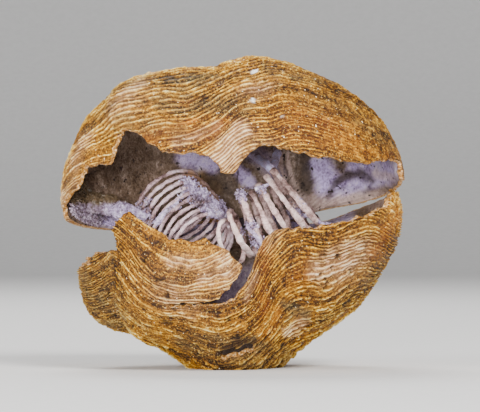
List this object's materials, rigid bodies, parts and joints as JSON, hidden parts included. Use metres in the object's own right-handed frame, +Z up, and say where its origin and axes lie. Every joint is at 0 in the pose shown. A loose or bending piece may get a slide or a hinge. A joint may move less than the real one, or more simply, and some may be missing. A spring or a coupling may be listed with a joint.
{
  "type": "brachiopod fossil",
  "caption": "Gaping fossil lamp shell: two growth-ridged valves with broken edges, and the coiled ribbon arm supports still in place between them.",
  "frame": {"origin": "on the surface that the fossil rests on, near the middle of the lower valve's flat resting spot", "axes": "+X to the right as seen from the gaping front, +Z up, -Y towards the front, +Y towards the hinge"},
  "size_m": [0.0358, 0.0298, 0.0324],
  "materials": {
    "golden_shell": "rough, silicified",
    "pale_support": "rough, silicified",
    "mineral_crust": "sugary crystals"
  },
  "bodies": {
    "root": {"upper_valve": "golden_shell", "lower_valve": "golden_shell", "left_spiralium": "pale_support", "right_spiralium": "pale_support", "crural_support": "pale_support", "mineral_crust": "mineral_crust"}
  },
  "joints": []
}
